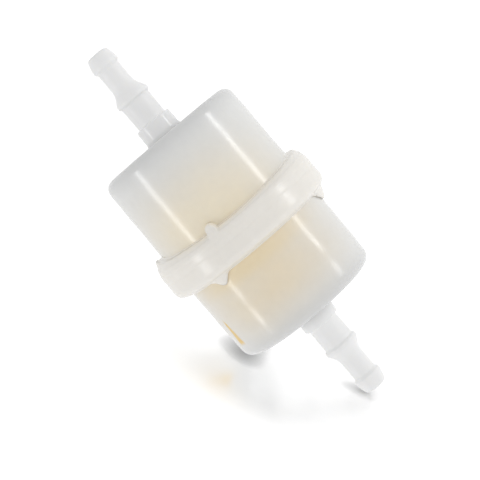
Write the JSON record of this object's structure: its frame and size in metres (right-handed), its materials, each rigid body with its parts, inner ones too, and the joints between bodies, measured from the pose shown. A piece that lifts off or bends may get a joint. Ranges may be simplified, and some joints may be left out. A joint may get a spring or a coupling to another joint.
{
  "type": "fuel filter",
  "caption": "Round translucent in-line fuel filter with a stepped barbed hose spigot at each end, a joint ring round the middle and a pleated paper element inside.",
  "frame": {"origin": "middle of the filter on its flow axis, halfway between the tips of the two spigots", "axes": "+Z along the flow axis towards the inlet spigot's tip, -Y towards the side with the gate stub, +X to its right"},
  "size_m": [0.0458, 0.0458, 0.105],
  "materials": {
    "shell": "milky translucent moulded polyamide, smooth",
    "ring": "milky white overmoulded polyamide, smooth",
    "paper": "cream resin-treated filter paper",
    "cap": "white moulded plastic",
    "adhesive": "cured amber adhesive",
    "seal": "black fuel-resistant rubber"
  },
  "bodies": {
    "root": {"inlet_shell": "shell", "outlet_shell": "shell", "joint_ring": "ring", "pleated_paper": "paper", "core_tube": "cap", "inlet_end_cap": "cap", "outlet_end_cap": "cap", "inlet_adhesive": "adhesive", "outlet_adhesive": "adhesive", "seam_adhesive": "adhesive", "outlet_seal": "seal"}
  },
  "joints": []
}
